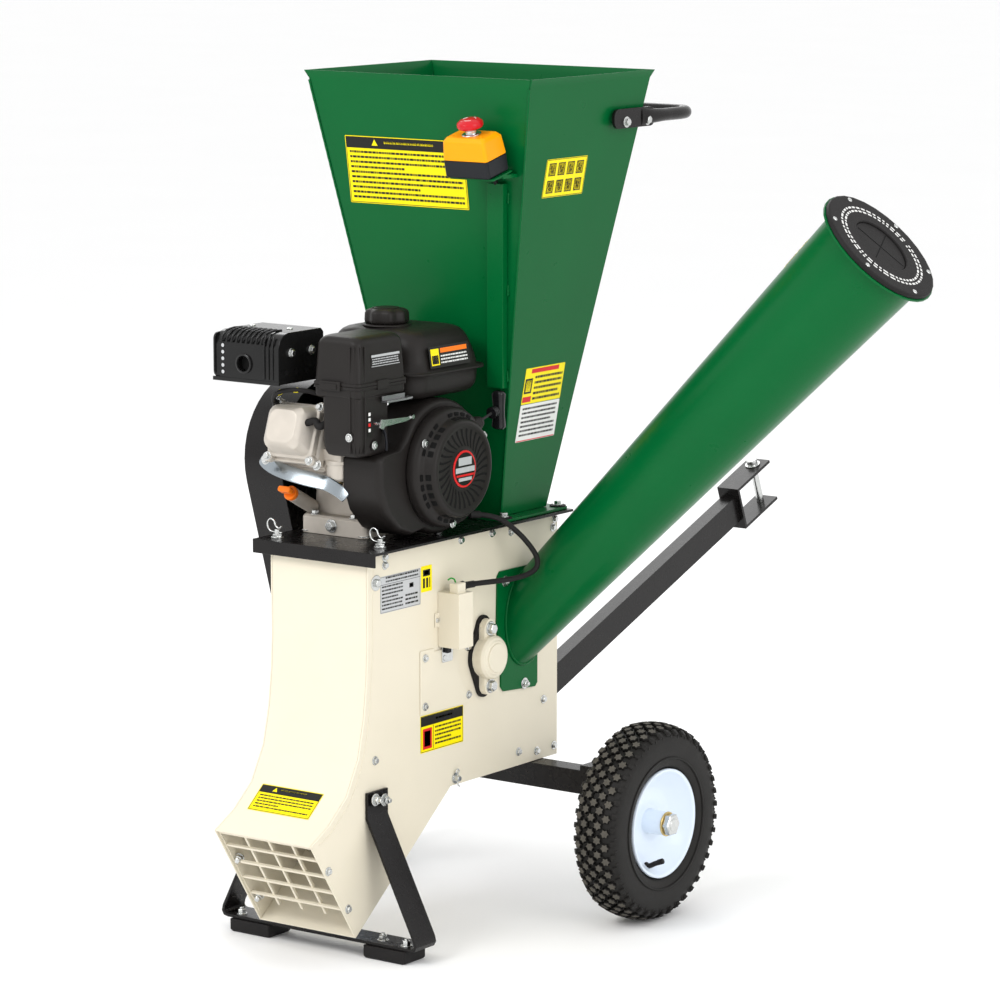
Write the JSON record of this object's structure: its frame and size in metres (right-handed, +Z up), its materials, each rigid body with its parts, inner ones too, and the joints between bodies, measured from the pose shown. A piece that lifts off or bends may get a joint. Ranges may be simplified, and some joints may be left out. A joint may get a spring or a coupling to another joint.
{
  "type": "wood chipper",
  "caption": "Petrol garden chipper-shredder on two wheels, with a top hopper, a side chute for branches, a belt-driven rotor, a front discharge grille and a tow bar.",
  "frame": {"origin": "centre of the footprint's bounding box, on the ground", "axes": "+X towards the branch chute, +Y towards the tow bar, +Z up"},
  "size_m": [1.1296, 1.3858, 1.309],
  "materials": {
    "cream_paint": "gloss powder coat, light cream",
    "green_paint": "gloss powder coat, deep green",
    "black_paint": "satin black powder coat",
    "engine_plastic": "dark grey-brown moulded plastic, fine grain",
    "black_plastic": "black moulded plastic",
    "amber_plastic": "amber yellow moulded plastic",
    "red_plastic": "signal red moulded plastic",
    "orange_plastic": "orange moulded plastic",
    "cast_alloy": "die-cast, warm grey, fine sand texture",
    "bare_steel": "machined steel",
    "zinc_plate": "bright zinc plate",
    "tyre_rubber": "black tyre rubber",
    "rim_paint": "pale blue-white paint",
    "black_rubber": "black rubber, matt",
    "starter_cord": "braided black cord"
  },
  "bodies": {
    "machine": {"side_panel_right": "cream_paint", "side_panel_left": "cream_paint", "front_panel": "cream_paint", "rear_panel": "cream_paint", "belly_panel": "cream_paint", "access_plate": "cream_paint", "discharge_grille": "cream_paint", "bearing_right": "cream_paint", "bearing_left": "cream_paint", "switch_cover": "cream_paint", "hopper_front_panel": "green_paint", "hopper_rear_panel": "green_paint", "hopper_right_panel": "green_paint", "hopper_left_panel": "green_paint", "hopper_base_flange": "green_paint", "conduit_channel": "green_paint", "estop_bracket": "green_paint", "chipper_chute": "green_paint", "engine_deck": "black_paint", "belt_guard": "black_paint", "axle_frame": "black_paint", "tow_bar": "black_paint", "foot_strap": "black_paint", "hopper_handle": "black_paint", "muffler": "black_paint", "fan_shroud": "engine_plastic", "recoil_cover": "engine_plastic", "fuel_tank": "engine_plastic", "air_cleaner": "engine_plastic", "estop_base": "black_plastic", "estop_lid": "amber_plastic", "engine_block": "cast_alloy", "valve_cover": "cast_alloy", "sizing_screen": "bare_steel", "rubber_foot_left": "black_rubber", "rubber_foot_right": "black_rubber", "drive_belt": "black_rubber", "chute_mouth_guard": "black_rubber", "chute_flap": "black_rubber", "cable_conduit": "black_rubber", "starter_rope": "starter_cord"},
    "wheel_right": {"tyre_right": "tyre_rubber", "rim_right": "rim_paint"},
    "wheel_left": {"tyre_left": "tyre_rubber", "rim_left": "rim_paint"},
    "rotor": {"rotor_shaft": "bare_steel", "chipper_disc": "bare_steel", "hammer_rotor": "bare_steel", "rotor_pulley": "bare_steel"},
    "crank": {"engine_pulley": "bare_steel"},
    "stop_plunger": {"estop_stem": "zinc_plate"},
    "stop_knob": {"estop_button": "red_plastic"},
    "starter": {"pull_handle": "engine_plastic"},
    "throttle": {"throttle_lever": "bare_steel"},
    "choke": {"choke_lever": "zinc_plate"},
    "tank_cap": {"fuel_cap": "engine_plastic"},
    "dipstick": {"oil_dipstick": "orange_plastic"},
    "clip_left": {"r_clip_left": "zinc_plate"},
    "clip_right": {"r_clip_right": "zinc_plate"},
    "drop_pin": {"hitch_pin": "zinc_plate"}
  },
  "joints": [
    {"name": "wheel_right_spin", "type": "hinge", "parent": "machine", "child": "wheel_right", "pos_m": [0.09315, -0.12232, 0.155], "axis": [1, 0, 0], "continuous": true},
    {"name": "wheel_left_spin", "type": "hinge", "parent": "machine", "child": "wheel_left", "pos_m": [-0.51285, -0.12232, 0.155], "axis": [1, 0, 0], "continuous": true},
    {"name": "rotor_spin", "type": "hinge", "parent": "machine", "child": "rotor", "pos_m": [-0.20985, -0.26932, 0.415], "axis": [1, 0, 0], "continuous": true},
    {"name": "crank_spin", "type": "hinge", "parent": "machine", "child": "crank", "pos_m": [-0.35985, -0.37532, 0.725], "axis": [1, 0, 0], "continuous": true},
    {"name": "stop_press", "type": "slide", "parent": "machine", "child": "stop_plunger", "axis": [0, 0.2419, -0.9703], "range_m": [0, 0.005]},
    {"name": "stop_twist", "type": "hinge", "parent": "stop_plunger", "child": "stop_knob", "pos_m": [-0.07985, -0.34313, 1.22669], "axis": [0, -0.2419, 0.9703], "range_deg": [-45, 0], "stiffness_Nm_per_rad": 0.02},
    {"name": "starter_pull", "type": "slide", "parent": "machine", "child": "starter", "axis": [0.9684, -0.1497, 0.1997], "range_m": [0, 0.45], "stiffness_N_per_m": 12, "springref_m": -0.3, "deforming": ["starter_rope"]},
    {"name": "throttle_turn", "type": "hinge", "parent": "machine", "child": "throttle", "pos_m": [-0.11285, -0.45832, 0.84], "axis": [0, 0, 1], "range_deg": [0, 30]},
    {"name": "choke_turn", "type": "hinge", "parent": "machine", "child": "choke", "pos_m": [-0.11385, -0.53032, 0.808], "axis": [1, 0, 0], "range_deg": [-30, 0]},
    {"name": "fuel_cap_turn", "type": "hinge", "parent": "machine", "child": "tank_cap", "pos_m": [-0.21885, -0.37232, 0.934], "axis": [0, 0, 1], "range_deg": [0, 90]},
    {"name": "dipstick_turn", "type": "hinge", "parent": "machine", "child": "dipstick", "pos_m": [-0.29455, -0.51232, 0.6837], "axis": [0, -0.8832, 0.4691], "range_deg": [0, 360]},
    {"name": "clip_left_pull", "type": "slide", "parent": "machine", "child": "clip_left", "axis": [-1, 0, 0], "range_m": [0, 0.024]},
    {"name": "clip_right_pull", "type": "slide", "parent": "machine", "child": "clip_right", "axis": [-1, 0, 0], "range_m": [0, 0.024]},
    {"name": "drop_pin_lift", "type": "slide", "parent": "machine", "child": "drop_pin", "axis": [0, -0.3616, 0.9323], "range_m": [0, 0.09]}
  ],
  "couplings": [
    {"joint": "crank_spin", "follows": "rotor_spin", "ratio": 1.4737}
  ]
}
